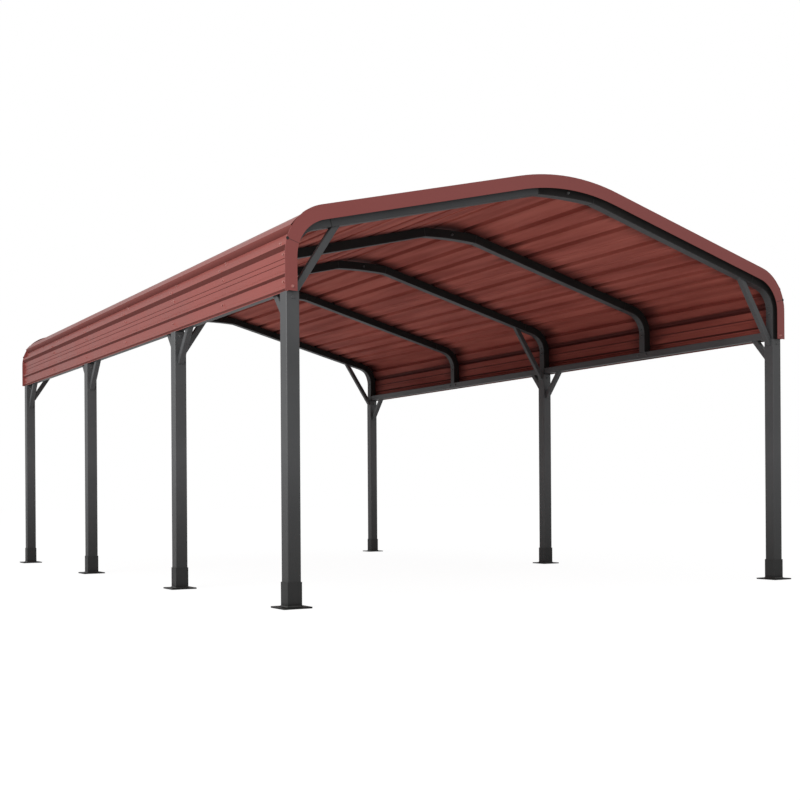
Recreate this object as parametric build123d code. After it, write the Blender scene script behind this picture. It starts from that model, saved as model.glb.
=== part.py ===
"""Open steel carport: seven square posts, five bent arches, side rails, knee braces and a ribbed
sheet roof that turns down over both eaves, with a folded trim round each gable end.

X runs across the carport, Y from the front gable to the rear one, Z up from the ground. The origin
is on the ground, in the middle of the plan. All sizes are in millimetres.
"""
import os
from math import cos, radians, sin, tan

from build123d import *

# Plan
post_spacing = 3600
frame_length = 5400
second_left_post = 1595
third_left_post = 3500
middle_right_post = 2445
second_arch = 1225
fourth_arch = 3810

# Posts and the feet that hold them
post_side = 75
post_top = 1612
plate_side = 162
plate_thick = 8
plate_corner = 5
sleeve_wall = 2.7
sleeve_height = 126
bolt_spacing = 118
bolt_hole = 13

# Arches: square tube bent at the eaves, with a flatter bow between the rafters at the ridge. The leg is
# straight up to the bend.
arch_width = 60
arch_depth = 58
leg_height = 191
roof_pitch = 14.4
eave_radius = 205
bend_tail = 95
bow_length = 430
bow_pitch = 4
tube_bevel = 3

# Side rails and braces
rail_width = 50
rail_height = 48
rail_lift = 6
brace_side = 36
brace_tip = 8
knee_angle = 56.5
front_left_knee_drop = -15
left_knee_drop = 112
right_knee_drop = 20
rail_brace_angle = 50
front_rail_brace_drop = 184
rear_rail_brace_drop = 118
eave_rib_tail = 380

# Roof sheets, measured along their outline: the eave sheet up from its hem, the ridge sheet down
# from the ridge. The slope sheet fills the rest.
sheet_thick = 2
sheet_overhang = 55
eave_sheet_run = 845
ridge_sheet_half = 378
sheet_ridge_radius = 855
sheet_lap = 35
hem_height = 36
hem_top = 8
hem_depth = 8

# Ribs pressed into the sheets. On the eave sheet a low one and a wide one near the hem, a broad one in the
# bend and narrow ones over it, counted down from the seam. On the slope sheet each rib and each crease is
# a share of the sheet's run up the slope, on the ridge sheet a distance down from the ridge.
low_rib_place = 92
low_rib_base = 36
low_rib_top = 10
low_rib_height = 12
wide_rib_place = 237
wide_rib_base = 56
wide_rib_top = 16
wide_rib_height = 19
bend_rib_place = 362
bend_rib_base = 110
bend_rib_top = 84
bend_rib_height = 35
roof_rib_base = 50
roof_rib_top = 22
roof_rib_height = 35
eave_rib_margin = 96
eave_rib_pitch = 128
slope_ribs = (0.05, 0.215, 0.45, 0.71, 0.895)
slope_creases = (0.325, 0.575)
ridge_ribs = (115, 315)
crease_base = 10
crease_top = 3
crease_height = 2.5
crease_gap = 27

# Gable trim
trim_thick = 3
trim_side_face = 69
trim_slope_face = 78
trim_lip = 14
trim_side_standoff = 23
trim_slope_standoff = 58
trim_eave_radius = 257
trim_ridge_radius = 1422
trim_leg_run = 265
trim_lip_run = 440

# Clearances
sleeve_fit = 0.3
seat_gap = 0.3
sheet_seam = 0.4

half_spacing = post_spacing / 2
half_length = frame_length / 2
front_y = -half_length
pitch = radians(roof_pitch)
arch_outer = half_spacing + arch_depth / 2
eave_corner = post_top + leg_height + eave_radius * tan(radians(90 - roof_pitch) / 2)
apex_height = eave_corner + arch_outer * tan(pitch)
bow_end = Vector(-bow_length / 2, apex_height - bow_length / 2 * tan(pitch))
bow_seam_angle = (pitch + radians(bow_pitch)) / 2
rail_foot = post_top + rail_lift
rail_top = rail_foot + rail_height
sheet_foot = post_top

left_posts = {
    "front_left": front_y,
    "second_left": front_y + second_left_post,
    "third_left": front_y + third_left_post,
    "rear_left": half_length,
}
right_posts = {
    "front_right": front_y,
    "middle_right": front_y + middle_right_post,
    "rear_right": half_length,
}
# How far under the post's top the knee brace starts, at each post that has one
knee_drops = {
    "front_left": front_left_knee_drop,
    "second_left": left_knee_drop,
    "rear_left": left_knee_drop,
    "front_right": right_knee_drop,
    "middle_right": right_knee_drop,
    "rear_right": right_knee_drop,
}
# Each arch by the place of its tube, and what its left and right legs stand on
arches = {
    "arch_1": (front_y, post_top, post_top),
    "arch_2": (front_y + second_arch, rail_top, rail_top),
    "arch_3": (front_y + middle_right_post, rail_top, post_top),
    "arch_4": (front_y + fourth_arch, rail_top, rail_top),
    "arch_5": (half_length, post_top, post_top),
}


def mirrored(shape):
    """The same piece on the other side of the carport."""
    return mirror(shape, Plane.YZ)


def roof_line(foot, side=0, slope=None, eave=eave_radius, ridge=sheet_ridge_radius):
    """The bent roof outline, moved outwards from the arches by the side and slope offsets."""
    slope = side if slope is None else slope
    half = arch_outer + side
    apex = apex_height + slope / cos(pitch)
    corner = apex - half * tan(pitch)
    corners = [(-half, foot), (-half, corner), (0, apex), (half, corner), (half, foot)]
    return FilletPolyline(*corners, radius=[eave + side, ridge + slope, eave + side])


def band(low, high):
    """The face between two outlines."""
    feet = [Edge.make_line(low @ end, high @ end) for end in (0, 1)]
    return make_face(low.edges() + high.edges() + feet)


def sheet_band(inner, outer):
    """The section between two offsets of the sheets' outline, from hem to hem."""
    return band(roof_line(sheet_foot, inner), roof_line(sheet_foot, outer))


def arch_edges(foot, inset):
    """The arch's outer outline, or one inside it: leg, bend and rafter on both sides, and the bow."""
    half = arch_outer - inset
    corner = apex_height - inset / cos(pitch) - half * tan(pitch)
    depth = inset / cos(pitch - bow_seam_angle)
    joint = bow_end + Vector(sin(bow_seam_angle), -cos(bow_seam_angle)) * depth
    crown = bow_end.Y + bow_length / 2 * tan(radians(bow_pitch) / 2) - inset
    side = FilletPolyline((-half, foot), (-half, corner), joint, radius=eave_radius - inset)
    bow = ThreePointArc(joint, (0, crown), (-joint.X, joint.Y))
    return side.edges() + bow.edges() + mirrored(side).edges()


def arch_section(foot):
    """The section of a whole arch, from foot to foot."""
    feet = [Edge.make_line((side * arch_outer, foot), (side * (arch_outer - arch_depth), foot)) for side in (-1, 1)]
    return make_face(arch_edges(foot, 0) + arch_edges(foot, arch_depth) + feet)


def along(face, start, end):
    """A section in X and Z drawn out from one place along Y to another."""
    return extrude(Plane.XZ.offset(-end) * face, end - start)


def cut_at(solid, point, direction, keep):
    """Halves a solid at a plane through a point of the section, square to a direction."""
    place = Plane(origin=(point.X, 0, point.Y), z_dir=(direction.X, 0, direction.Y))
    return split(solid, bisect_by=place, keep=keep)


def square_tube(width, depth, length):
    """A closed tube along Z, standing on the origin, with its four long edges bevelled."""
    bar = extrude(Rectangle(width, depth), length)
    return chamfer(bar.edges().filter_by(Axis.Z), tube_bevel)


def post():
    """Post from the top of its foot's plate up to the rail."""
    return Pos(0, 0, plate_thick) * square_tube(post_side, post_side, post_top - plate_thick)


def foot():
    """Base plate with four anchor holes and the welded sleeve that the post stands in."""
    square = Rectangle(plate_side, plate_side)
    plate = extrude(chamfer(square.vertices(), plate_corner), plate_thick)
    inside = post_side + 2 * sleeve_fit
    outside = inside + 2 * sleeve_wall
    ring = Rectangle(outside, outside) - Rectangle(inside, inside)
    sleeve = extrude(Pos(0, 0, plate_thick) * ring, sleeve_height)
    holes = [Pos(*place.position) * Cylinder(bolt_hole / 2, 3 * plate_thick) for place in
             GridLocations(bolt_spacing, bolt_spacing, 2, 2)]
    return plate + sleeve - holes


def arch_tube(y, left_foot, right_foot):
    """One whole arch, before it is parted into its five pieces."""
    lowest = min(left_foot, right_foot)
    tube = along(arch_section(lowest), y - arch_width / 2, y + arch_width / 2)
    long_edges = tube.edges().filter_by(Axis.Y, reverse=True).filter_by(lambda edge: edge.center().Z > lowest)
    tube = chamfer(long_edges, tube_bevel)
    for side, height in ((-1, left_foot), (1, right_foot)):
        if height > lowest:
            spare = Pos(side * half_spacing, y, (lowest + height) / 2) * Box(
                2 * arch_depth, 2 * arch_width, height - lowest)
            tube -= spare
    return tube


def slope_point(distance):
    """The place on the left slope, and its direction, a distance up from the end of the eave bend."""
    line = roof_line(rail_top)
    slope = line.edges()[2]
    return slope.position_at(distance, PositionMode.LENGTH), slope.tangent_at(0)


def bow_cut(tube, keep):
    """Parts an arch where its left rafter meets the bow."""
    return cut_at(tube, bow_end, Vector(cos(bow_seam_angle), sin(bow_seam_angle)), keep)


def side_pieces(tube):
    """The left eave bend with its leg, and the left rafter, of one arch."""
    place, direction = slope_point(bend_tail)
    bend = cut_at(tube, place, direction, Keep.BOTTOM)
    rest = cut_at(tube, place, direction, Keep.TOP)
    return bend, bow_cut(rest, Keep.BOTTOM)


def brace(start, end, wall, ceiling, floor=0):
    """A square tube from a wall up to a ceiling, cut to lie flat on both, with a level cut at its tip, at or
    over the floor."""
    run = end - start
    reach = Vector(run.X, run.Y, 0).length
    tip = max(floor, start.Z + (brace_tip * run.Z - brace_side / 2 * run.length) / reach)
    spare = 2 * brace_side
    x_dir = Vector(0, 0, 1).cross(run)
    bar = Plane(origin=start, x_dir=x_dir, z_dir=run) * Pos(0, 0, -spare) * square_tube(
        brace_side, brace_side, run.length + 2 * spare)
    for face in (wall, ceiling, Plane.XY.offset(tip)):
        bar = split(bar, bisect_by=face, keep=Keep.TOP)
    return bar


def knee_brace(y, drop):
    """Inward brace on the left, up to the underside of the rafter: from the inner face of a post or, with a
    drop under zero, from the inner face of the leg that stands on the post."""
    slope = roof_line(rail_top, -arch_depth).edges()[2]
    low = slope.position_at(0)
    direction = slope.tangent_at(0)
    inner_face = -half_spacing + post_side / 2 if drop > 0 else -arch_outer + arch_depth
    start = Vector(inner_face, y, post_top - drop)
    clear_height = low.Y + (start.X - low.X) * tan(pitch) - start.Z
    reach = clear_height / (tan(radians(knee_angle)) - tan(pitch))
    end = start + Vector(reach, 0, reach * tan(radians(knee_angle)))
    wall = Plane(origin=start, z_dir=(1, 0, 0))
    ceiling = Plane(origin=end, z_dir=(direction.Y, 0, -direction.X))
    return brace(start, end, wall, ceiling, 0 if drop > 0 else post_top + seat_gap)


def rail_brace(x, y, way):
    """Brace in line with the rail, from the post's front or rear face up to the rail's underside."""
    drop = front_rail_brace_drop if way < 0 else rear_rail_brace_drop
    start = Vector(x, y + way * post_side / 2, post_top - drop)
    reach = (rail_foot - start.Z) / tan(radians(rail_brace_angle))
    end = Vector(x, start.Y + way * reach, rail_foot)
    wall = Plane(origin=start, z_dir=(0, way, 0))
    ceiling = Plane(origin=end, z_dir=(0, 0, -1))
    return brace(start, end, wall, ceiling)


def rail(x, start, end):
    """Side rail between the legs at two posts."""
    length = end - start - arch_width
    origin = (x, start + arch_width / 2, rail_foot + rail_height / 2)
    lying = Plane(origin=origin, x_dir=(1, 0, 0), z_dir=(0, 1, 0))
    return lying * square_tube(rail_width, rail_height, length)


def sheet_point(line, run, lift):
    """A place on the sheets, by its distance up the outline from the left hem and its height over it."""
    place = line.position_at(run, PositionMode.LENGTH)
    direction = line.tangent_at(run, PositionMode.LENGTH)
    return place.X - lift * direction.Y, place.Y + lift * direction.X


def rib_outline(line, place, base, top, low, high):
    """One side of a rib. Where the outline is bent, the rib's top and bottom bend with it."""
    start = line.tangent_at(place - base / 2, PositionMode.LENGTH)
    end = line.tangent_at(place + base / 2, PositionMode.LENGTH)
    middle = [] if start.get_angle(end) < 1 else [0]
    sole = [(run, low) for run in (-base / 2, *middle, base / 2)]
    crest = [(run, high) for run in (top / 2, *middle, -top / 2)]
    return Polygon(*[sheet_point(line, place + run, lift) for run, lift in sole + crest], align=None)


def rib(line, place, base, top, height):
    """The raised and the hollow side of one rib, at a distance along the sheet's outline."""
    raised = rib_outline(line, place, base, top, sheet_thick / 2, height + sheet_thick)
    hollow = rib_outline(line, place, base - 2 * sheet_thick, top - sheet_thick, -sheet_thick, height)
    return raised, hollow


def crease_pair(place):
    """Two creases beside each other, by the place between them."""
    form = (crease_base, crease_top, crease_height)
    return [(place - crease_gap / 2, form), (place + crease_gap / 2, form)]


def left_ribs(middle):
    """The ribs from the left hem up to the ridge, each as its distance along the outline and its form."""
    low = (low_rib_base, low_rib_top, low_rib_height)
    wide = (wide_rib_base, wide_rib_top, wide_rib_height)
    bend = (bend_rib_base, bend_rib_top, bend_rib_height)
    roof = (roof_rib_base, roof_rib_top, roof_rib_height)
    ribs = [(low_rib_place, low), (wide_rib_place, wide), (bend_rib_place, bend)]
    ribs += crease_pair((low_rib_place + wide_rib_place - low_rib_height) / 2)

    place = eave_sheet_run - eave_rib_margin
    while place > bend_rib_place + (bend_rib_base + roof_rib_base) / 2:
        ribs.append((place, roof))
        place -= eave_rib_pitch

    slope_run = middle - ridge_sheet_half - eave_sheet_run
    ribs += [(eave_sheet_run + share * slope_run, roof) for share in slope_ribs]
    for share in slope_creases:
        ribs += crease_pair(eave_sheet_run + share * slope_run)
    return ribs + [(middle - down, roof) for down in ridge_ribs]


def sheet_section(line):
    """The ribbed roof outline from one hem to the other, one sheet thick, with a folded bead at each hem."""
    section = sheet_band(seat_gap, seat_gap + sheet_thick)
    for distance, form in left_ribs(line.length / 2):
        for place in (distance, line.length - distance):
            raised, hollow = rib(line, place, *form)
            section = section + raised - hollow
    for place in (hem_height / 2, line.length - hem_height / 2):
        section += rib_outline(line, place, hem_height, hem_top, 0, hem_depth)
    return section


def sheet_cut(solid, line, distance, keep):
    """Cuts a piece of the roof square to its outline, a distance up from the left hem."""
    place = line.position_at(distance, PositionMode.LENGTH)
    return cut_at(solid, place, line.tangent_at(distance, PositionMode.LENGTH), keep)


def sheet_layer(inner, outer):
    """A plain layer of the roof from hem to hem, as long as the sheets."""
    return along(sheet_band(inner, outer), front_y - sheet_overhang, half_length + sheet_overhang)


def lap(line, seam):
    """The lower edge of a sheet, stepped up to ride over the sheet below it."""
    over = 2 * seat_gap + 2 * sheet_thick
    step_start = seam + sheet_seam / 2
    step_end = step_start + sheet_thick
    edge = sheet_cut(sheet_layer(over - sheet_thick, over), line, seam - sheet_lap, Keep.TOP)
    step = sheet_cut(sheet_layer(seat_gap, over), line, step_start, Keep.TOP)
    return sheet_cut(edge, line, step_end, Keep.BOTTOM) + sheet_cut(step, line, step_end, Keep.BOTTOM)


def roof_sheets():
    """The five sheets of the roof, parted square to the outline. Each upper one laps over the lower."""
    line = roof_line(sheet_foot, seat_gap)
    lower_seam = eave_sheet_run
    upper_seam = line.length / 2 - ridge_sheet_half
    whole = along(sheet_section(line), front_y - sheet_overhang, half_length + sheet_overhang)

    eave = sheet_cut(whole, line, lower_seam - sheet_seam / 2, Keep.BOTTOM)
    upper = sheet_cut(whole, line, lower_seam + sheet_seam / 2, Keep.TOP)
    slope = sheet_cut(upper, line, upper_seam - sheet_seam / 2, Keep.BOTTOM) + lap(line, lower_seam)

    ridge = sheet_cut(upper, line, upper_seam + sheet_seam / 2, Keep.TOP)
    ridge = mirrored(sheet_cut(mirrored(ridge), line, upper_seam + sheet_seam / 2, Keep.TOP))
    ridge_lap = lap(line, upper_seam)
    return {
        "left_eave_sheet": eave,
        "left_slope_sheet": slope,
        "ridge_sheet": ridge + ridge_lap + mirrored(ridge_lap),
        "right_slope_sheet": mirrored(slope),
        "right_eave_sheet": mirrored(eave),
    }


def trim_line(side, slope):
    """An outline of the gable trim, moved outwards from the arches by the side and slope offsets."""
    return roof_line(sheet_foot, side, slope, trim_eave_radius, trim_ridge_radius)


def gable_trim(way):
    """The folded trim of one gable, front or rear: a left leg with a flat face, and the left half over the
    roof, whose face turns back in a lip over the sheets."""
    end = way * (half_length + sheet_overhang + seat_gap)
    outer = trim_line(trim_side_standoff, trim_slope_standoff)
    inner = trim_line(trim_side_standoff - trim_side_face, trim_slope_standoff - trim_slope_face)
    under_lip = trim_line(trim_side_standoff - trim_thick, trim_slope_standoff - trim_thick)
    face = along(band(inner, outer), *sorted((end, end + way * trim_thick)))
    lip = along(band(under_lip, outer), *sorted((end, end - way * trim_lip)))
    left_face = cut_at(face, Vector(-seat_gap / 2, 0), Vector(1, 0), Keep.BOTTOM)
    left_lip = cut_at(lip, Vector(-seat_gap / 2, 0), Vector(1, 0), Keep.BOTTOM)
    leg = sheet_cut(left_face, outer, trim_leg_run, Keep.BOTTOM)
    left_lip = sheet_cut(left_lip, outer, trim_lip_run, Keep.TOP)
    return leg, sheet_cut(left_face, outer, trim_leg_run, Keep.TOP) + left_lip


parts = {}

for name, y in left_posts.items():
    parts[name + "_post"] = Pos(-half_spacing, y, 0) * post()
for name, y in right_posts.items():
    parts[name + "_post"] = Pos(half_spacing, y, 0) * post()
parts["left_feet"] = Compound([Pos(-half_spacing, y, 0) * foot() for y in left_posts.values()])
parts["right_feet"] = Compound([Pos(half_spacing, y, 0) * foot() for y in right_posts.values()])

bows = []
for name, (y, left_foot, right_foot) in arches.items():
    tube = arch_tube(y, left_foot, right_foot)
    left_bend, left_rafter = side_pieces(tube)
    right_bend, right_rafter = [mirrored(piece) for piece in side_pieces(mirrored(tube))]
    parts[name + "_eave_bends"] = Compound([left_bend, right_bend])
    parts[name + "_rafters"] = Compound([left_rafter, right_rafter])
    bow = bow_cut(tube, Keep.TOP)
    bows.append(bow_cut(mirrored(bow), Keep.TOP))
parts["ridge_bows"] = Compound(bows)

for name in ("second_left", "third_left"):
    tube = arch_tube(left_posts[name], post_top, post_top)
    place, direction = slope_point(eave_rib_tail)
    parts[name + "_eave_rib"] = cut_at(tube, place, direction, Keep.BOTTOM)

for side, posts in ((-1, left_posts), (1, right_posts)):
    places = sorted(posts.values())
    for name, y in posts.items():
        pieces = []
        if name in knee_drops:
            knee = knee_brace(y, knee_drops[name])
            pieces.append(knee if side < 0 else mirrored(knee))
        if y > places[0]:
            pieces.append(rail_brace(side * half_spacing, y, -1))
        if y < places[-1]:
            pieces.append(rail_brace(side * half_spacing, y, 1))
        parts[name + "_braces"] = Compound(pieces)

left_places = list(left_posts.values())
right_places = list(right_posts.values())
for name, start, end in zip(("front", "middle", "rear"), left_places, left_places[1:]):
    parts["left_rail_" + name] = rail(-half_spacing, start, end)
for name, start, end in zip(("front", "rear"), right_places, right_places[1:]):
    parts["right_rail_" + name] = rail(half_spacing, start, end)

parts.update(roof_sheets())

for name, way in (("front", -1), ("rear", 1)):
    left_leg, left_half = gable_trim(way)
    parts[name + "_trim_legs"] = Compound([left_leg, mirrored(left_leg)])
    parts[name + "_left_trim"] = left_half
    parts[name + "_right_trim"] = mirrored(left_half)

os.makedirs("parts", exist_ok=True)
for name, shape in parts.items():
    export_step(shape, os.path.join("parts", name + ".step"))
    print(name, round(shape.volume), len(shape.solids()))
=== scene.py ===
import math

import bpy
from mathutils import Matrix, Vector


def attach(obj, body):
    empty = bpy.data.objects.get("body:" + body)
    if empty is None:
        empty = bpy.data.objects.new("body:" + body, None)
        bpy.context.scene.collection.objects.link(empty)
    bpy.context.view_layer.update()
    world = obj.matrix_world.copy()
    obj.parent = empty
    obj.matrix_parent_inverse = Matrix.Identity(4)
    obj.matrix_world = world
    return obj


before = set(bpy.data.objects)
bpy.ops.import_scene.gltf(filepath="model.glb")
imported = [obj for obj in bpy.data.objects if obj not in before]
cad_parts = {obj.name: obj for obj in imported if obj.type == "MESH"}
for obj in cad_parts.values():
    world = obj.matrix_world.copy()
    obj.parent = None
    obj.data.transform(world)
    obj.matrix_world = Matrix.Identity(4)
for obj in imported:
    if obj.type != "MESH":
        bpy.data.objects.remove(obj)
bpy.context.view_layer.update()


# Camera: the eye stands half a metre above the ground, outside the front left corner, and looks along the
# carport and in under its roof. The lens axis is level, so the posts stay upright, and the picture is
# shifted up to take in the roof.
camera_place = (-4.381, -8.002, 0.547)
camera_turn = -0.5477
camera_roll = 0.0064
film_width = 36
lens_length = 51.72
picture_rise = 0.1253

bpy.ops.object.select_all(action="DESELECT")
bpy.ops.object.camera_add(location=camera_place, rotation=(math.radians(90), camera_roll, camera_turn))
camera = bpy.context.object
camera.data.sensor_width = film_width
camera.data.lens = lens_length
camera.data.shift_y = picture_rise
bpy.context.scene.camera = camera


# Each one stands in the sleeve of its foot and carries an arch, a short eave rib or a rail at its head.
charcoal = (0.053, 0.054, 0.056, 1)
charcoal_thin = (0.070, 0.071, 0.073, 1)
charcoal_low = (0.018, 0.018, 0.018, 1)
dust = (0.24, 0.22, 0.19, 1)
satin = (0.34, 0.48)
powder_ripple = (420, 0.00003, 3, 0.0)
half_width = 1.8
left_post_places = {"front_left": -2.7, "second_left": -1.105, "third_left": 0.8, "rear_left": 2.7}
right_post_places = {"front_right": -2.7, "middle_right": -0.255, "rear_right": 2.7}


def new_group(name, inputs, outputs):
    """An empty shader node group with named inputs and outputs."""
    group = bpy.data.node_groups.new(name, "ShaderNodeTree")
    for label, kind, value in inputs:
        socket = group.interface.new_socket(label, in_out="INPUT", socket_type=kind)
        socket.default_value = value
    for label, kind in outputs:
        group.interface.new_socket(label, in_out="OUTPUT", socket_type=kind)
    return group


def place_node(tree, kind, **settings):
    """A node in a tree, with its own settings."""
    node = tree.nodes.new(kind)
    for name, value in settings.items():
        setattr(node, name, value)
    return node


def mix_colours(tree, factor, first, second, blend="MIX"):
    """A colour mix. Each of the three is a socket, or a value for one."""
    node = place_node(tree, "ShaderNodeMix", data_type="RGBA", blend_type=blend)
    for name, value in (("Factor_Float", factor), ("A_Color", first), ("B_Color", second)):
        socket = next(s for s in node.inputs if s.identifier == name)
        if isinstance(value, bpy.types.NodeSocket):
            tree.links.new(value, socket)
        else:
            socket.default_value = value
    return next(s for s in node.outputs if s.identifier == "Result_Color")


def uneven_coat():
    """Group: a coat's colour drifts in broad patches between two tones, and its gloss drifts with it."""
    group = new_group("uneven_coat", [
        ("Thick", "NodeSocketColor", (1, 1, 1, 1)),
        ("Thin", "NodeSocketColor", (1, 1, 1, 1)),
        ("Patches per Metre", "NodeSocketFloat", 3.0),
        ("Least Roughness", "NodeSocketFloat", 0.3),
        ("Most Roughness", "NodeSocketFloat", 0.5),
    ], [("Colour", "NodeSocketColor"), ("Roughness", "NodeSocketFloat")])
    given = place_node(group, "NodeGroupInput")
    made = place_node(group, "NodeGroupOutput")
    where = place_node(group, "ShaderNodeTexCoord")
    patches = place_node(group, "ShaderNodeTexNoise")
    patches.inputs["Detail"].default_value = 5
    patches.inputs["Roughness"].default_value = 0.6
    group.links.new(where.outputs["Object"], patches.inputs["Vector"])
    group.links.new(given.outputs["Patches per Metre"], patches.inputs["Scale"])
    spread = place_node(group, "ShaderNodeMapRange")
    spread.inputs["From Min"].default_value = 0.3
    spread.inputs["From Max"].default_value = 0.7
    group.links.new(patches.outputs["Fac"], spread.inputs["Value"])
    colour = mix_colours(group, spread.outputs["Result"], given.outputs["Thick"], given.outputs["Thin"])
    gloss = place_node(group, "ShaderNodeMapRange")
    group.links.new(spread.outputs["Result"], gloss.inputs["Value"])
    group.links.new(given.outputs["Least Roughness"], gloss.inputs["To Min"])
    group.links.new(given.outputs["Most Roughness"], gloss.inputs["To Max"])
    group.links.new(colour, made.inputs["Colour"])
    group.links.new(gloss.outputs["Result"], made.inputs["Roughness"])
    return group


def orange_peel():
    """Group: the fine ripple of a sprayed and baked coat, over a slow wave in the metal under it."""
    group = new_group("orange_peel", [
        ("Ripples per Metre", "NodeSocketFloat", 350.0),
        ("Ripple Height", "NodeSocketFloat", 0.00004),
        ("Waves per Metre", "NodeSocketFloat", 2.0),
        ("Wave Height", "NodeSocketFloat", 0.0),
    ], [("Normal", "NodeSocketVector")])
    given = place_node(group, "NodeGroupInput")
    made = place_node(group, "NodeGroupOutput")
    where = place_node(group, "ShaderNodeTexCoord")
    heights = []
    for scale, height, detail in (("Ripples per Metre", "Ripple Height", 1),
                                  ("Waves per Metre", "Wave Height", 2)):
        noise = place_node(group, "ShaderNodeTexNoise")
        noise.inputs["Detail"].default_value = detail
        group.links.new(where.outputs["Object"], noise.inputs["Vector"])
        group.links.new(given.outputs[scale], noise.inputs["Scale"])
        tall = place_node(group, "ShaderNodeMath", operation="MULTIPLY")
        group.links.new(noise.outputs["Fac"], tall.inputs[0])
        group.links.new(given.outputs[height], tall.inputs[1])
        heights.append(tall.outputs[0])
    both = place_node(group, "ShaderNodeMath", operation="ADD")
    group.links.new(heights[0], both.inputs[0])
    group.links.new(heights[1], both.inputs[1])
    bump = place_node(group, "ShaderNodeBump")
    bump.inputs["Distance"].default_value = 1
    bump.inputs["Strength"].default_value = 1
    group.links.new(both.outputs[0], bump.inputs["Height"])
    group.links.new(bump.outputs["Normal"], made.inputs["Normal"])
    return group


def settled_dust():
    """Group: dust lies on faces that look up, broken by noise."""
    group = new_group("settled_dust", [
        ("Coat", "NodeSocketColor", (1, 1, 1, 1)),
        ("Dust", "NodeSocketColor", dust),
        ("Amount", "NodeSocketFloat", 0.3),
    ], [("Colour", "NodeSocketColor")])
    given = place_node(group, "NodeGroupInput")
    made = place_node(group, "NodeGroupOutput")
    where = place_node(group, "ShaderNodeTexCoord")
    shape = place_node(group, "ShaderNodeNewGeometry")
    facing = place_node(group, "ShaderNodeSeparateXYZ")
    group.links.new(shape.outputs["Normal"], facing.inputs[0])
    up = place_node(group, "ShaderNodeMapRange")
    up.inputs["From Min"].default_value = 0.3
    up.inputs["From Max"].default_value = 1.0
    group.links.new(facing.outputs["Z"], up.inputs["Value"])
    noise = place_node(group, "ShaderNodeTexNoise")
    noise.inputs["Scale"].default_value = 14
    noise.inputs["Detail"].default_value = 6
    group.links.new(where.outputs["Object"], noise.inputs["Vector"])
    broken = place_node(group, "ShaderNodeMath", operation="MULTIPLY")
    group.links.new(up.outputs["Result"], broken.inputs[0])
    group.links.new(noise.outputs["Fac"], broken.inputs[1])
    share = place_node(group, "ShaderNodeMath", operation="MULTIPLY", use_clamp=True)
    group.links.new(broken.outputs[0], share.inputs[0])
    group.links.new(given.outputs["Amount"], share.inputs[1])
    colour = mix_colours(group, share.outputs[0], given.outputs["Coat"], given.outputs["Dust"])
    group.links.new(colour, made.inputs["Colour"])
    return group


coat_group = uneven_coat()
peel_group = orange_peel()
dust_group = settled_dust()


def place_group(tree, group, **values):
    """A node group in a material, with its own values. An underscore stands for a space in a name."""
    node = place_node(tree, "ShaderNodeGroup", node_tree=group)
    for name, value in values.items():
        node.inputs[name.replace("_", " ")].default_value = value
    return node


def coated_steel(name, thick, thin, roughness, patches, peel, dust_amount, specular=0.5):
    """Painted or powder coated steel, from the three groups above. The roughness is its least and its most,
    the peel is ripples per metre, their height, waves per metre and their height."""
    material = bpy.data.materials.new(name)
    material.use_nodes = True
    tree = material.node_tree
    shader = tree.nodes["Principled BSDF"]
    shader.inputs["Specular IOR Level"].default_value = specular
    coat = place_group(tree, coat_group, Thick=thick, Thin=thin, Patches_per_Metre=patches,
                       Least_Roughness=roughness[0], Most_Roughness=roughness[1])
    dusty = place_group(tree, dust_group, Amount=dust_amount)
    ripple = place_group(tree, peel_group, Ripples_per_Metre=peel[0], Ripple_Height=peel[1],
                         Waves_per_Metre=peel[2], Wave_Height=peel[3])
    tree.links.new(coat.outputs["Colour"], dusty.inputs["Coat"])
    tree.links.new(dusty.outputs["Colour"], shader.inputs["Base Color"])
    tree.links.new(coat.outputs["Roughness"], shader.inputs["Roughness"])
    tree.links.new(ripple.outputs["Normal"], shader.inputs["Normal"])
    return material


def paint_nodes(names, material):
    """Gives CAD nodes a material, through the slots of their objects."""
    for name in names:
        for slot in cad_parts[name].material_slots:
            slot.material = material


def darker_below(material, low_tone, start_height, end_height):
    """Deepens a coat towards the ground. It stands for the photo's own shading."""
    tree = material.node_tree
    shader = tree.nodes["Principled BSDF"]
    plain = shader.inputs["Base Color"].links[0].from_socket
    where = place_node(tree, "ShaderNodeTexCoord")
    apart = place_node(tree, "ShaderNodeSeparateXYZ")
    tree.links.new(where.outputs["Object"], apart.inputs[0])
    depth = place_node(tree, "ShaderNodeMapRange")
    depth.inputs["From Min"].default_value = start_height
    depth.inputs["From Max"].default_value = end_height
    tree.links.new(apart.outputs["Z"], depth.inputs["Value"])
    colour = mix_colours(tree, depth.outputs["Result"], plain, low_tone)
    tree.links.new(colour, shader.inputs["Base Color"])


charcoal_coat = coated_steel("charcoal_coat", charcoal, charcoal_thin, satin, 2.5, powder_ripple, 0.25)
darker_below(charcoal_coat, charcoal_low, 0.85, 0.1)
post_names = [*left_post_places, *right_post_places]
post_places = [(-half_width, y) for y in left_post_places.values()]
post_places += [(half_width, y) for y in right_post_places.values()]
paint_nodes([name + "_post" for name in post_names], charcoal_coat)


# Feet: square steel base plates with a drilled hole at each corner, and a short sleeve of square tube welded
# upright on each, powder coated like the posts. The photo shades them deeper, so their coat is deeper too.
foot_charcoal = (0.020, 0.020, 0.020, 1)
foot_charcoal_thin = (0.027, 0.027, 0.027, 1)
foot_charcoal_low = (0.005, 0.005, 0.005, 1)
plate_thick = 0.008
weld_foot = 0.096
weld_height = 0.007
foot_coat = coated_steel("foot_coat", foot_charcoal, foot_charcoal_thin, (0.42, 0.58), 6,
                         (380, 0.00004, 3, 0.0), 0.12, 0.3)
darker_below(foot_coat, foot_charcoal_low, 0.03, 0.012)
paint_nodes(["left_feet", "right_feet"], foot_coat)


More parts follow.
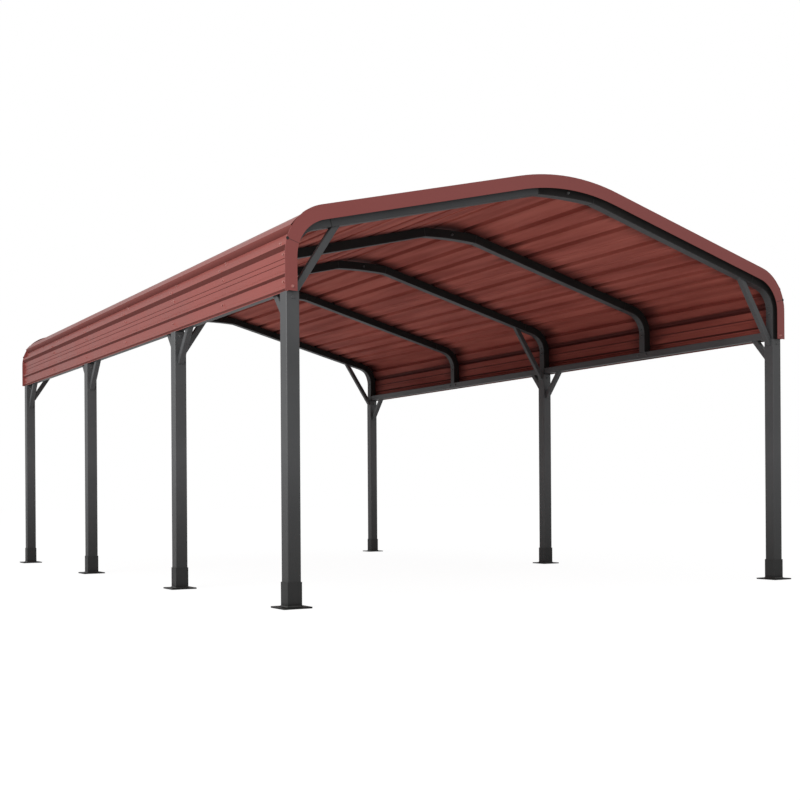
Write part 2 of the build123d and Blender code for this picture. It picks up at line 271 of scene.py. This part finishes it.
def finish_piece(name, material):
    """Names the active object, puts its place and turn into its mesh, and hands it to the carport's body."""
    piece = bpy.context.object
    bpy.ops.object.transform_apply(location=True, rotation=True, scale=True)
    piece.name = name
    piece.data.name = name
    piece.data.materials.clear()
    piece.data.materials.append(material)
    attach(piece, "root")
    return piece


def copy_to(places):
    """Copies the active object to each place and turn, joins the copies and drops the model."""
    model = bpy.context.object
    copies = []
    for place, turn in places:
        bpy.ops.object.select_all(action="DESELECT")
        model.select_set(True)
        bpy.context.view_layer.objects.active = model
        bpy.ops.object.duplicate(linked=False)
        copy = bpy.context.object
        copy.location = place
        copy.rotation_euler = turn
        copies.append(copy)
    bpy.ops.object.select_all(action="DESELECT")
    model.select_set(True)
    bpy.ops.object.delete()
    for copy in copies:
        copy.select_set(True)
    bpy.context.view_layer.objects.active = copies[0]
    bpy.ops.object.transform_apply(location=True, rotation=True, scale=True)
    bpy.ops.object.join()


def pick_faces(test):
    """Selects the faces of the edited mesh that pass a test."""
    mesh = bpy.context.object.data
    bpy.ops.mesh.select_all(action="DESELECT")
    bpy.ops.object.mode_set(mode="OBJECT")
    for face in mesh.polygons:
        face.select = test(face)
    bpy.ops.object.mode_set(mode="EDIT")


weld_coat = coated_steel("weld_coat", foot_charcoal, foot_charcoal_thin, (0.30, 0.45), 30,
                         (160, 0.0006, 40, 0.0012), 0.12, 0.3)
bpy.ops.object.select_all(action="DESELECT")
bpy.ops.mesh.primitive_cube_add(size=1, location=(0, 0, plate_thick + weld_height / 2),
                                scale=(weld_foot, weld_foot, weld_height))
bpy.ops.object.transform_apply(location=True, rotation=True, scale=True)
bpy.ops.object.mode_set(mode="EDIT")
bpy.ops.mesh.select_mode(type="FACE")
pick_faces(lambda face: face.normal.z > 0.9)
bpy.ops.transform.resize(value=(0.85, 0.85, 1), center_override=(0, 0, 0))
bpy.ops.mesh.select_all(action="SELECT")
bpy.ops.mesh.bevel(offset=0.0015, segments=2, affect="EDGES")
bpy.ops.object.mode_set(mode="OBJECT")
copy_to([((x, y, 0), (0, 0, 0)) for x, y in post_places])
finish_piece("foot_welds", weld_coat)


# Arches, eave ribs, rails and braces: square tube, bent cold or cut to lie flat on its neighbour, and coated
# like the posts.
# The next two tones are painted shade, on the front faces of the arches and in the seams.
shade_charcoal = (0.010, 0.008, 0.008, 1)
shade_charcoal_thin = (0.018, 0.016, 0.015, 1)
bow_end = 0.212
arch_places = [-2.7, -1.475, -0.255, 1.11, 2.7]
arches = ["arch_%d" % number for number in range(1, 6)]


def arch_coat(name, from_across):
    """The coat of an arch. To the right of a place across, its front face is painted a deeper, flatter tone,
    as the photo shades it."""
    material = coated_steel(name, charcoal, charcoal_thin, satin, 2.5, powder_ripple, 0.25, 0.25)
    tree = material.node_tree
    shader = tree.nodes["Principled BSDF"]
    plain = shader.inputs["Base Color"].links[0].from_socket
    gloss = shader.inputs["Roughness"].links[0].from_socket
    where = place_node(tree, "ShaderNodeTexCoord")
    apart = place_node(tree, "ShaderNodeSeparateXYZ")
    tree.links.new(where.outputs["Object"], apart.inputs[0])
    right = place_node(tree, "ShaderNodeMath", operation="GREATER_THAN")
    right.inputs[1].default_value = from_across
    tree.links.new(apart.outputs["X"], right.inputs[0])
    facing = place_node(tree, "ShaderNodeSeparateXYZ")
    tree.links.new(where.outputs["Normal"], facing.inputs[0])
    front = place_node(tree, "ShaderNodeMapRange")
    front.inputs["From Min"].default_value = -0.5
    front.inputs["From Max"].default_value = -0.8
    tree.links.new(facing.outputs["Y"], front.inputs["Value"])
    both = place_node(tree, "ShaderNodeMath", operation="MULTIPLY")
    tree.links.new(right.outputs[0], both.inputs[0])
    tree.links.new(front.outputs["Result"], both.inputs[1])
    deep = place_group(tree, coat_group, Thick=shade_charcoal, Thin=shade_charcoal_thin,
                       Patches_per_Metre=5)
    colour = mix_colours(tree, both.outputs[0], plain, deep.outputs["Colour"])
    tree.links.new(colour, shader.inputs["Base Color"])
    rough = place_node(tree, "ShaderNodeMath", operation="MULTIPLY_ADD", use_clamp=True)
    rough.inputs[1].default_value = 0.4
    tree.links.new(both.outputs[0], rough.inputs[0])
    tree.links.new(gloss, rough.inputs[2])
    tree.links.new(rough.outputs[0], shader.inputs["Roughness"])
    return material


inner_arch_coat = arch_coat("inner_arch_coat", -3)
front_arch_coat = arch_coat("front_arch_coat", -bow_end)
paint_nodes([name + "_eave_bends" for name in arches[1:]], inner_arch_coat)
paint_nodes([name + "_rafters" for name in arches[1:]], inner_arch_coat)
paint_nodes(["second_left_eave_rib", "third_left_eave_rib", "ridge_bows"], inner_arch_coat)
paint_nodes(["arch_1_eave_bends", "arch_1_rafters"], front_arch_coat)
paint_nodes([name + "_braces" for name in post_names], charcoal_coat)
paint_nodes(["left_rail_front", "left_rail_middle", "left_rail_rear", "right_rail_front",
             "right_rail_rear"], charcoal_coat)


# Frame bolts: flange bolts through the slip joints of the arches, through the post heads and beside the
# arches' feet on the rails, coated like the frame with small patches of a lighter tone. Each is a flat round
# flange with a hexagon head on it.
rubbed = (0.085, 0.085, 0.085, 1)
flange_radius = 0.0095
head_radius = 0.0072
head_height = 0.006
flange_thick = 0.002
arch_face = 0.03
bow_bolt = (0.012, 2.355)
leg_bolt_across = 1.771
leg_bolt_heights = (1.790, 1.832)
post_face = 0.0375
post_bolt_height = 1.583
rail_bolt_across = 1.775
rail_bolt_height = 1.643
rail_bolt_along = 0.045


def hex_fastener(flange, head, height):
    """A hexagon head with an inset top on a round flange, standing on the origin and looking up."""
    bpy.ops.object.select_all(action="DESELECT")
    bpy.ops.mesh.primitive_cylinder_add(vertices=12, radius=flange, depth=flange_thick,
                                        location=(0, 0, flange_thick * 0.4))
    base = bpy.context.object
    bpy.ops.object.transform_apply(location=True, rotation=True, scale=True)
    bpy.ops.object.mode_set(mode="EDIT")
    bpy.ops.mesh.select_mode(type="FACE")
    pick_faces(lambda face: face.normal.z > 0.9)
    bpy.ops.transform.resize(value=(0.86, 0.86, 1), center_override=(0, 0, 0))
    bpy.ops.object.mode_set(mode="OBJECT")
    bpy.ops.object.select_all(action="DESELECT")
    bpy.ops.mesh.primitive_cylinder_add(vertices=6, radius=head, depth=height,
                                        location=(0, 0, flange_thick * 0.6 + height / 2))
    bpy.ops.object.transform_apply(location=True, rotation=True, scale=True)
    bpy.ops.object.mode_set(mode="EDIT")
    bpy.ops.mesh.select_mode(type="FACE")
    pick_faces(lambda face: face.normal.z > 0.9)
    bpy.ops.mesh.inset(thickness=head * 0.16, depth=head * 0.09)
    bpy.ops.object.mode_set(mode="OBJECT")
    base.select_set(True)
    bpy.context.view_layer.objects.active = base
    bpy.ops.object.join()


bolt_coat = coated_steel("bolt_coat", charcoal, rubbed, (0.28, 0.45), 120, powder_ripple, 0.2)
facing_front = (math.radians(90), 0, 0)
bolt_places = []
for y in arch_places:
    bolt_places.append(((bow_bolt[0], y - arch_face, bow_bolt[1]), facing_front))
    for side in (-1, 1):
        for height in leg_bolt_heights:
            bolt_places.append(((side * leg_bolt_across, y, height), (0, -side * math.radians(90), 0)))
for x, y in post_places:
    bolt_places.append(((x, y - post_face, post_bolt_height), facing_front))
for side, arches_on_rails in ((-1, (-1.475, -0.255, 1.11)), (1, (-1.475, 1.11))):
    for y in arches_on_rails:
        for along in (y - rail_bolt_along, y + rail_bolt_along):
            bolt_places.append(((side * rail_bolt_across, along, rail_bolt_height),
                                (0, -side * math.radians(90), 0)))
hex_fastener(flange_radius, head_radius, head_height)
copy_to(bolt_places)
finish_piece("frame_bolts", bolt_coat)


# Seams of the arches: where a bend slips over its rafter, and a rafter over the bow, the outer tube ends in
# a cut edge that stands just proud. A ring along it is painted near black, as the shade line of the joint.
seam_shade_black = (0.006, 0.006, 0.006, 1)
seam_wide = 0.005
seam_proud = 0.0007
arch_wide, arch_deep = 0.060, 0.058
bend_seam = (1.5758, 1.9971, math.radians(14.4))
bow_seam = (0.2104, 2.3478, math.radians(9.2))
seam_shade_coat = coated_steel("seam_shade_coat", seam_shade_black, shade_charcoal, (0.45, 0.6), 20, powder_ripple, 0.1)
bpy.ops.object.select_all(action="DESELECT")
bpy.ops.mesh.primitive_cube_add(size=1, scale=(seam_wide, arch_wide + 2 * seam_proud,
                                               arch_deep + 2 * seam_proud))
bpy.ops.object.transform_apply(location=True, rotation=True, scale=True)
bpy.ops.object.mode_set(mode="EDIT")
bpy.ops.mesh.select_mode(type="EDGE")
bpy.ops.mesh.select_all(action="DESELECT")
bpy.ops.object.mode_set(mode="OBJECT")
ring = bpy.context.object.data
for edge in ring.edges:
    start, end = [ring.vertices[v].co for v in edge.vertices]
    edge.select = abs(start.x - end.x) > seam_wide / 2
bpy.ops.object.mode_set(mode="EDIT")
bpy.ops.mesh.bevel(offset=0.003, segments=2, affect="EDGES")
bpy.ops.object.mode_set(mode="OBJECT")
seam_places = []
for y in arch_places:
    for side in (-1, 1):
        for across, height, turn in (bend_seam, bow_seam):
            seam_places.append(((side * across, y, height), (0, side * turn, 0)))
copy_to(seam_places)
finish_piece("arch_seams", seam_shade_coat)


# Roof sheets: thin ribbed steel, painted brick red before it is rolled, bent over both eaves and lapped in
# five runs. Wide flats between the ribs show a slow wave.
brick_red = (0.242, 0.057, 0.047, 1)
brick_red_thin = (0.283, 0.070, 0.059, 1)
inner_red = (0.45, 0.112, 0.083, 1)
inner_red_dark = (0.29, 0.056, 0.040, 1)
# The next two are painted shade: under the ribs outside, and inside beside the arches and down the walls.
under_rib_shade = (0.120, 0.026, 0.021, 1)
shade_red = (0.060, 0.008, 0.006, 1)


def inner_face():
    """Group: tells the inner side of the roof from the outer one, and how much an outer face looks down,
    which is the mask of the painted shade under the ribs, thinner higher up. Outward is away from the heart
    of the bend, so sideways on the walls and up over the roof."""
    group = new_group("inner_face", [
        ("Bend Across", "NodeSocketFloat", 1.624),
        ("Bend Height", "NodeSocketFloat", 1.803),
    ], [("Inner", "NodeSocketFloat"), ("Under", "NodeSocketFloat")])
    given = place_node(group, "NodeGroupInput")
    made = place_node(group, "NodeGroupOutput")
    where = place_node(group, "ShaderNodeTexCoord")
    shape = place_node(group, "ShaderNodeNewGeometry")
    apart = place_node(group, "ShaderNodeSeparateXYZ")
    group.links.new(where.outputs["Object"], apart.inputs[0])
    distance = place_node(group, "ShaderNodeMath", operation="ABSOLUTE")
    group.links.new(apart.outputs["X"], distance.inputs[0])
    outward = place_node(group, "ShaderNodeCombineXYZ")
    for from_heart, middle, axis in ((distance.outputs[0], "Bend Across", "X"),
                                     (apart.outputs["Z"], "Bend Height", "Z")):
        less = place_node(group, "ShaderNodeMath", operation="SUBTRACT")
        group.links.new(from_heart, less.inputs[0])
        group.links.new(given.outputs[middle], less.inputs[1])
        beyond = place_node(group, "ShaderNodeMath", operation="MAXIMUM")
        beyond.inputs[1].default_value = 0
        group.links.new(less.outputs[0], beyond.inputs[0])
        if axis == "X":
            way = place_node(group, "ShaderNodeMath", operation="SIGN")
            group.links.new(apart.outputs["X"], way.inputs[0])
            signed = place_node(group, "ShaderNodeMath", operation="MULTIPLY")
            group.links.new(beyond.outputs[0], signed.inputs[0])
            group.links.new(way.outputs[0], signed.inputs[1])
            beyond = signed
        group.links.new(beyond.outputs[0], outward.inputs[axis])
    along = place_node(group, "ShaderNodeVectorMath", operation="DOT_PRODUCT")
    group.links.new(outward.outputs[0], along.inputs[0])
    group.links.new(shape.outputs["True Normal"], along.inputs[1])
    inner = place_node(group, "ShaderNodeMapRange")
    inner.inputs["From Min"].default_value = -0.005
    inner.inputs["From Max"].default_value = -0.015
    group.links.new(along.outputs["Value"], inner.inputs["Value"])
    facing = place_node(group, "ShaderNodeSeparateXYZ")
    group.links.new(shape.outputs["Normal"], facing.inputs[0])
    down = place_node(group, "ShaderNodeMapRange")
    down.inputs["From Min"].default_value = -0.05
    down.inputs["From Max"].default_value = -0.45
    group.links.new(facing.outputs["Z"], down.inputs["Value"])
    outer = place_node(group, "ShaderNodeMath", operation="SUBTRACT")
    outer.inputs[0].default_value = 1
    group.links.new(inner.outputs["Result"], outer.inputs[1])
    under = place_node(group, "ShaderNodeMath", operation="MULTIPLY")
    group.links.new(outer.outputs[0], under.inputs[0])
    group.links.new(down.outputs["Result"], under.inputs[1])
    high = place_node(group, "ShaderNodeMapRange")
    high.inputs["From Min"].default_value = 1.915
    high.inputs["From Max"].default_value = 1.945
    high.inputs["To Min"].default_value = 1
    high.inputs["To Max"].default_value = 0.3
    group.links.new(apart.outputs["Z"], high.inputs["Value"])
    thinned = place_node(group, "ShaderNodeMath", operation="MULTIPLY")
    group.links.new(under.outputs[0], thinned.inputs[0])
    group.links.new(high.outputs["Result"], thinned.inputs[1])
    group.links.new(inner.outputs["Result"], made.inputs["Inner"])
    group.links.new(thinned.outputs[0], made.inputs["Under"])
    return group


def rolled_streaks():
    """Group: long soft streaks along the sheets, left by the rolls that formed them."""
    group = new_group("rolled_streaks", [("Low", "NodeSocketFloat", 0.35), ("High", "NodeSocketFloat", 0.65)],
                      [("Streaks", "NodeSocketFloat")])
    given = place_node(group, "NodeGroupInput")
    made = place_node(group, "NodeGroupOutput")
    where = place_node(group, "ShaderNodeTexCoord")
    stretch = place_node(group, "ShaderNodeMapping")
    stretch.inputs["Scale"].default_value = (11, 0.9, 11)
    group.links.new(where.outputs["Object"], stretch.inputs["Vector"])
    noise = place_node(group, "ShaderNodeTexNoise")
    noise.inputs["Scale"].default_value = 1
    noise.inputs["Detail"].default_value = 4
    group.links.new(stretch.outputs["Vector"], noise.inputs["Vector"])
    spread = place_node(group, "ShaderNodeMapRange")
    group.links.new(noise.outputs["Fac"], spread.inputs["Value"])
    group.links.new(given.outputs["Low"], spread.inputs["From Min"])
    group.links.new(given.outputs["High"], spread.inputs["From Max"])
    group.links.new(spread.outputs["Result"], made.inputs["Streaks"])
    return group


def arch_shade():
    """Group: the soft shade that the photo has on the sheets beside each arch, painted, its edge broken."""
    group = new_group("arch_shade", [("Reach", "NodeSocketFloat", 0.22)], [("Shade", "NodeSocketFloat")])
    given = place_node(group, "NodeGroupInput")
    made = place_node(group, "NodeGroupOutput")
    where = place_node(group, "ShaderNodeTexCoord")
    apart = place_node(group, "ShaderNodeSeparateXYZ")
    group.links.new(where.outputs["Object"], apart.inputs[0])
    nearest = None
    for y in arch_places:
        away = place_node(group, "ShaderNodeMath", operation="SUBTRACT")
        away.inputs[1].default_value = y
        group.links.new(apart.outputs["Y"], away.inputs[0])
        size = place_node(group, "ShaderNodeMath", operation="ABSOLUTE")
        group.links.new(away.outputs[0], size.inputs[0])
        if nearest:
            least = place_node(group, "ShaderNodeMath", operation="MINIMUM")
            group.links.new(nearest.outputs[0], least.inputs[0])
            group.links.new(size.outputs[0], least.inputs[1])
            nearest = least
        else:
            nearest = size
    stretch = place_node(group, "ShaderNodeMapping")
    stretch.inputs["Scale"].default_value = (26, 1.2, 26)
    group.links.new(where.outputs["Object"], stretch.inputs["Vector"])
    noise = place_node(group, "ShaderNodeTexNoise")
    noise.inputs["Scale"].default_value = 1
    noise.inputs["Detail"].default_value = 3
    group.links.new(stretch.outputs["Vector"], noise.inputs["Vector"])
    uneven = place_node(group, "ShaderNodeMath", operation="MULTIPLY")
    group.links.new(noise.outputs["Fac"], uneven.inputs[0])
    group.links.new(given.outputs["Reach"], uneven.inputs[1])
    fade = place_node(group, "ShaderNodeMapRange", interpolation_type="SMOOTHSTEP")
    fade.inputs["From Max"].default_value = 0.03
    fade.inputs["To Max"].default_value = 0.9
    start = place_node(group, "ShaderNodeMath", operation="MULTIPLY_ADD")
    start.inputs[1].default_value = 2
    start.inputs[2].default_value = 0.03
    group.links.new(uneven.outputs[0], start.inputs[0])
    group.links.new(start.outputs[0], fade.inputs["From Min"])
    group.links.new(nearest.outputs[0], fade.inputs["Value"])
    group.links.new(fade.outputs["Result"], made.inputs["Shade"])
    return group


def wall_shade():
    """Group: how much painted shade darkens the inner side down the walls, most in the hollows of the ribs.
    """
    group = new_group("wall_shade", [("Wall", "NodeSocketFloat", 0.42), ("Hollow", "NodeSocketFloat", 0.95)],
                      [("Depth", "NodeSocketFloat")])
    given = place_node(group, "NodeGroupInput")
    made = place_node(group, "NodeGroupOutput")
    where = place_node(group, "ShaderNodeTexCoord")
    apart = place_node(group, "ShaderNodeSeparateXYZ")
    group.links.new(where.outputs["Object"], apart.inputs[0])
    wall = place_node(group, "ShaderNodeMapRange")
    wall.inputs["From Min"].default_value = 2.02
    wall.inputs["From Max"].default_value = 1.86
    group.links.new(apart.outputs["Z"], wall.inputs["Value"])
    group.links.new(given.outputs["Wall"], wall.inputs["To Max"])
    deepest = wall.outputs["Result"]
    for height, half_width in ((1.846, 0.030), (1.776, 0.006), (1.712, 0.009)):
        away = place_node(group, "ShaderNodeMath", operation="SUBTRACT")
        away.inputs[1].default_value = height
        group.links.new(apart.outputs["Z"], away.inputs[0])
        size = place_node(group, "ShaderNodeMath", operation="ABSOLUTE")
        group.links.new(away.outputs[0], size.inputs[0])
        hollow = place_node(group, "ShaderNodeMapRange")
        hollow.inputs["From Min"].default_value = half_width
        hollow.inputs["From Max"].default_value = half_width * 0.5
        group.links.new(size.outputs[0], hollow.inputs["Value"])
        group.links.new(given.outputs["Hollow"], hollow.inputs["To Max"])
        most = place_node(group, "ShaderNodeMath", operation="MAXIMUM")
        group.links.new(deepest, most.inputs[0])
        group.links.new(hollow.outputs["Result"], most.inputs[1])
        deepest = most.outputs[0]
    group.links.new(deepest, made.inputs["Depth"])
    return group


inner_group = inner_face()
wall_shade_group = wall_shade()
streak_group = rolled_streaks()
shade_group = arch_shade()


def sheet_paint(name, thick, thin):
    """The roof's paint: glossy brick red outside and a flatter red inside, streaked along the sheets. Painted
    shade deepens the inside beside the arches and down the walls, and the outer faces under the ribs."""
    material = coated_steel(name, thick, thin, (0.30, 0.44), 1.6, (500, 0.000015, 5, 0.0005), 0.1, 0.28)
    tree = material.node_tree
    shader = tree.nodes["Principled BSDF"]
    outer = shader.inputs["Base Color"].links[0].from_socket
    gloss = shader.inputs["Roughness"].links[0].from_socket
    side = place_group(tree, inner_group)
    streak = place_group(tree, streak_group)
    shade = place_group(tree, shade_group)
    streaked = mix_colours(tree, streak.outputs["Streaks"], inner_red_dark, inner_red)
    depth = place_group(tree, wall_shade_group)
    deep = mix_colours(tree, depth.outputs["Depth"], streaked, shade_red)
    inner = mix_colours(tree, shade.outputs["Shade"], deep, shade_red)
    shaded = mix_colours(tree, side.outputs["Under"], outer, under_rib_shade)
    both = mix_colours(tree, side.outputs["Inner"], shaded, inner)
    tree.links.new(both, shader.inputs["Base Color"])
    flat = place_node(tree, "ShaderNodeMath", operation="MAXIMUM")
    tree.links.new(side.outputs["Inner"], flat.inputs[0])
    tree.links.new(side.outputs["Under"], flat.inputs[1])
    rough = place_node(tree, "ShaderNodeMath", operation="MULTIPLY_ADD", use_clamp=True)
    rough.inputs[1].default_value = 0.4
    tree.links.new(flat.outputs[0], rough.inputs[0])
    tree.links.new(gloss, rough.inputs[2])
    tree.links.new(rough.outputs[0], shader.inputs["Roughness"])
    return material


roof_paint = sheet_paint("roof_paint", brick_red, brick_red_thin)
paint_nodes(["left_eave_sheet", "left_slope_sheet", "ridge_sheet", "right_slope_sheet",
             "right_eave_sheet"], roof_paint)


# Sheet screws: self drilling screws with a painted hexagon head on a round sealing washer. Four rows hold
# each wall of the roof, at its posts and between them, and rows over every arch hold the slopes on the flats.
washer_radius = 0.0105
screw_radius = 0.0062
screw_height = 0.007
# The heads are the sheets' red, lightened as a painted highlight.
screw_red = (0.46, 0.21, 0.19, 1)
wall_rows = [(0.050, 0.0), (0.190, 0.0), (0.237, 0.019), (0.290, 0.0)]
left_columns = [-2.7, -1.9, -1.105, -0.15, 0.8, 1.75, 2.7]
right_columns = [-2.7, -1.885, -1.07, -0.255, 0.73, 1.715, 2.7]
roof_rows = [0.443, 0.557, 0.685, 0.935, 1.100, 1.225, 1.330, 1.475, 1.580, 1.660, 1.755, 1.915, 2.030,
             2.120]
wall_face = 1.8313
hem_height = 1.612
bend_start = 0.191
bend_across, bend_height = 1.624, 1.803
bend_radius, bend_outer = 0.2053, 0.2073
roof_pitch = math.radians(14.4)
ridge_arc_start, ridge_arc_radius = 0.2127, 0.857


def roof_place(run, lift):
    """A place on the left half of the roof, by its distance up the outline from the hem and its height over
    the sheets: across, height, and the turn that points the local upright away from the sheets."""
    full_turn = math.radians(90) - roof_pitch
    if run < bend_start:
        return -wall_face - lift, hem_height + run, math.radians(-90)
    turn = min((run - bend_start) / bend_radius, full_turn)
    across = -bend_across - (bend_outer + lift) * math.cos(turn)
    height = bend_height + (bend_outer + lift) * math.sin(turn)
    straight = max(0, run - bend_start - bend_radius * full_turn)
    across += straight * math.cos(roof_pitch)
    height += straight * math.sin(roof_pitch)
    if across > -ridge_arc_start:
        beyond = across + ridge_arc_start
        height -= beyond * beyond / (2 * ridge_arc_radius)
    return across, height, turn - math.radians(90)


screw_places = []
for run, lift in wall_rows:
    across, height, turn = roof_place(run, lift)
    for y in left_columns:
        screw_places.append(((across, y, height), (0, turn, 0)))
    for y in right_columns:
        screw_places.append(((-across, y, height), (0, -turn, 0)))
for run in roof_rows:
    across, height, turn = roof_place(run, 0)
    for y in arch_places:
        screw_places.append(((across, y, height), (0, turn, 0)))
        screw_places.append(((-across, y, height), (0, -turn, 0)))
screw_paint = coated_steel("screw_paint", screw_red, brick_red_thin, (0.25, 0.4), 60,
                           (500, 0.000015, 5, 0.0), 0.2)
hex_fastener(washer_radius, screw_radius, screw_height)
copy_to(screw_places)
finish_piece("sheet_screws", screw_paint)


# Gable trims: folded steel strip in the roof's red, round the outline of each gable in four pieces, with a
# flat face over the ends of the arch and a lip over the sheets.
trim_red = (0.252, 0.064, 0.058, 1)
trim_red_thin = (0.268, 0.070, 0.064, 1)
trim_face = 2.7583
trim_screw_across = 1.811
trim_screw_height = 1.634
trim_paint = sheet_paint("trim_paint", trim_red, trim_red_thin)
for gable in ("front", "rear"):
    paint_nodes([gable + "_trim_legs", gable + "_left_trim", gable + "_right_trim"], trim_paint)

trim_screw_places = []
for way in (-1, 1):
    for side in (-1, 1):
        trim_screw_places.append(((side * trim_screw_across, way * trim_face, trim_screw_height),
                                  (-way * math.radians(90), 0, 0)))
hex_fastener(washer_radius * 0.8, screw_radius, screw_height)
copy_to(trim_screw_places)
finish_piece("trim_screws", screw_paint)


# Seams of the trim: the leg of each corner butts against the strip over the roof in a joint, square to
# the bend, with a small round notch at its outer end. Both are painted near black, as the shade in the gap
# and in the notch.
joint_length = 0.068
joint_wide = 0.0036
joint_thick = 0.0008
joint_turn = math.radians(16)
joint_middle = (1.8080, 1.8664)
joint_face = 2.7585
notch_radius = 0.0085
notch_middle = (1.8375, 1.8750)

bpy.ops.object.select_all(action="DESELECT")
bpy.ops.mesh.primitive_cube_add(size=1, scale=(joint_length, joint_thick, joint_wide))
bpy.ops.object.transform_apply(location=True, rotation=True, scale=True)
bpy.ops.object.mode_set(mode="EDIT")
bpy.ops.mesh.select_mode(type="FACE")
pick_faces(lambda face: abs(face.normal.x) > 0.9)
bpy.ops.transform.resize(value=(1, 1, 0.5), center_override=(0, 0, 0))
bpy.ops.mesh.select_all(action="SELECT")
bpy.ops.mesh.bevel(offset=0.0002, segments=1, affect="EDGES")
bpy.ops.object.mode_set(mode="OBJECT")
joint_places = []
notch_places = []
for y in (-joint_face, joint_face):
    for side in (-1, 1):
        joint_places.append(((side * joint_middle[0], y, joint_middle[1]), (0, -side * joint_turn, 0)))
        notch_places.append(((side * notch_middle[0], y, notch_middle[1]), (math.radians(90), 0, 0)))
copy_to(joint_places)
joints = bpy.context.object
bpy.ops.object.select_all(action="DESELECT")
bpy.ops.mesh.primitive_cylinder_add(vertices=16, radius=notch_radius, depth=joint_thick)
bpy.ops.object.transform_apply(location=True, rotation=True, scale=True)
bpy.ops.object.mode_set(mode="EDIT")
bpy.ops.mesh.select_mode(type="FACE")
pick_faces(lambda face: abs(face.normal.z) > 0.9)
bpy.ops.mesh.inset(thickness=0.001, depth=0.0002)
bpy.ops.object.mode_set(mode="OBJECT")
copy_to(notch_places)
joints.select_set(True)
bpy.context.view_layer.objects.active = joints
bpy.ops.object.join()
finish_piece("trim_seams", seam_shade_coat)


# Floor: a plain white ground, which the camera sees as white and which keeps a faint shadow of the carport.
# Everything else sees it as pale matt ground, which lights the roof from below.
floor_size = 120
floor_grey = (0.75, 0.75, 0.75, 1)
shadow_grey = (0.12, 0.12, 0.12, 1)
white_glow = 0.93

bpy.ops.object.select_all(action="DESELECT")
bpy.ops.mesh.primitive_plane_add(size=floor_size, location=(0, 0, 0))
floor = bpy.context.object
floor.name = "floor"
ground = bpy.data.materials.new("white_ground")
ground.use_nodes = True
tree = ground.node_tree
tree.nodes.remove(tree.nodes["Principled BSDF"])
matt = place_node(tree, "ShaderNodeBsdfDiffuse")
matt.inputs["Color"].default_value = floor_grey
faint = place_node(tree, "ShaderNodeBsdfDiffuse")
faint.inputs["Color"].default_value = shadow_grey
glow = place_node(tree, "ShaderNodeEmission")
glow.inputs["Strength"].default_value = white_glow
seen = place_node(tree, "ShaderNodeAddShader")
tree.links.new(faint.outputs[0], seen.inputs[0])
tree.links.new(glow.outputs[0], seen.inputs[1])
ray = place_node(tree, "ShaderNodeLightPath")
direct = place_node(tree, "ShaderNodeMixShader")
tree.links.new(ray.outputs["Is Camera Ray"], direct.inputs[0])
tree.links.new(matt.outputs[0], direct.inputs[1])
tree.links.new(seen.outputs[0], direct.inputs[2])
tree.links.new(direct.outputs[0], tree.nodes["Material Output"].inputs["Surface"])
floor.data.materials.append(ground)


# Light: an even pale sky, which the camera sees as white, and one broad soft lamp high on the left, turned
# to the middle of the carport.
sky_level = 0.62
lamp_place = (-11, -5, 5.5)
lamp_size = (9, 5)
lamp_power = 900
lamp_target = Vector((0, 0, 1.5))

world = bpy.data.worlds.new("studio")
bpy.context.scene.world = world
world.use_nodes = True
tree = world.node_tree
sky = tree.nodes["Background"]
sky.inputs["Color"].default_value = (1, 1, 1, 1)
ray = place_node(tree, "ShaderNodeLightPath")
level = place_node(tree, "ShaderNodeMapRange")
level.inputs["To Min"].default_value = sky_level
level.inputs["To Max"].default_value = 1.0
tree.links.new(ray.outputs["Is Camera Ray"], level.inputs["Value"])
tree.links.new(level.outputs["Result"], sky.inputs["Strength"])

bpy.ops.object.select_all(action="DESELECT")
bpy.ops.object.light_add(type="AREA", location=lamp_place)
lamp = bpy.context.object
lamp.data.shape = "RECTANGLE"
lamp.data.size, lamp.data.size_y = lamp_size
lamp.data.energy = lamp_power
lamp.rotation_euler = (lamp_target - lamp.location).to_track_quat("-Z", "Y").to_euler()

bpy.context.scene.view_settings.view_transform = "Standard"
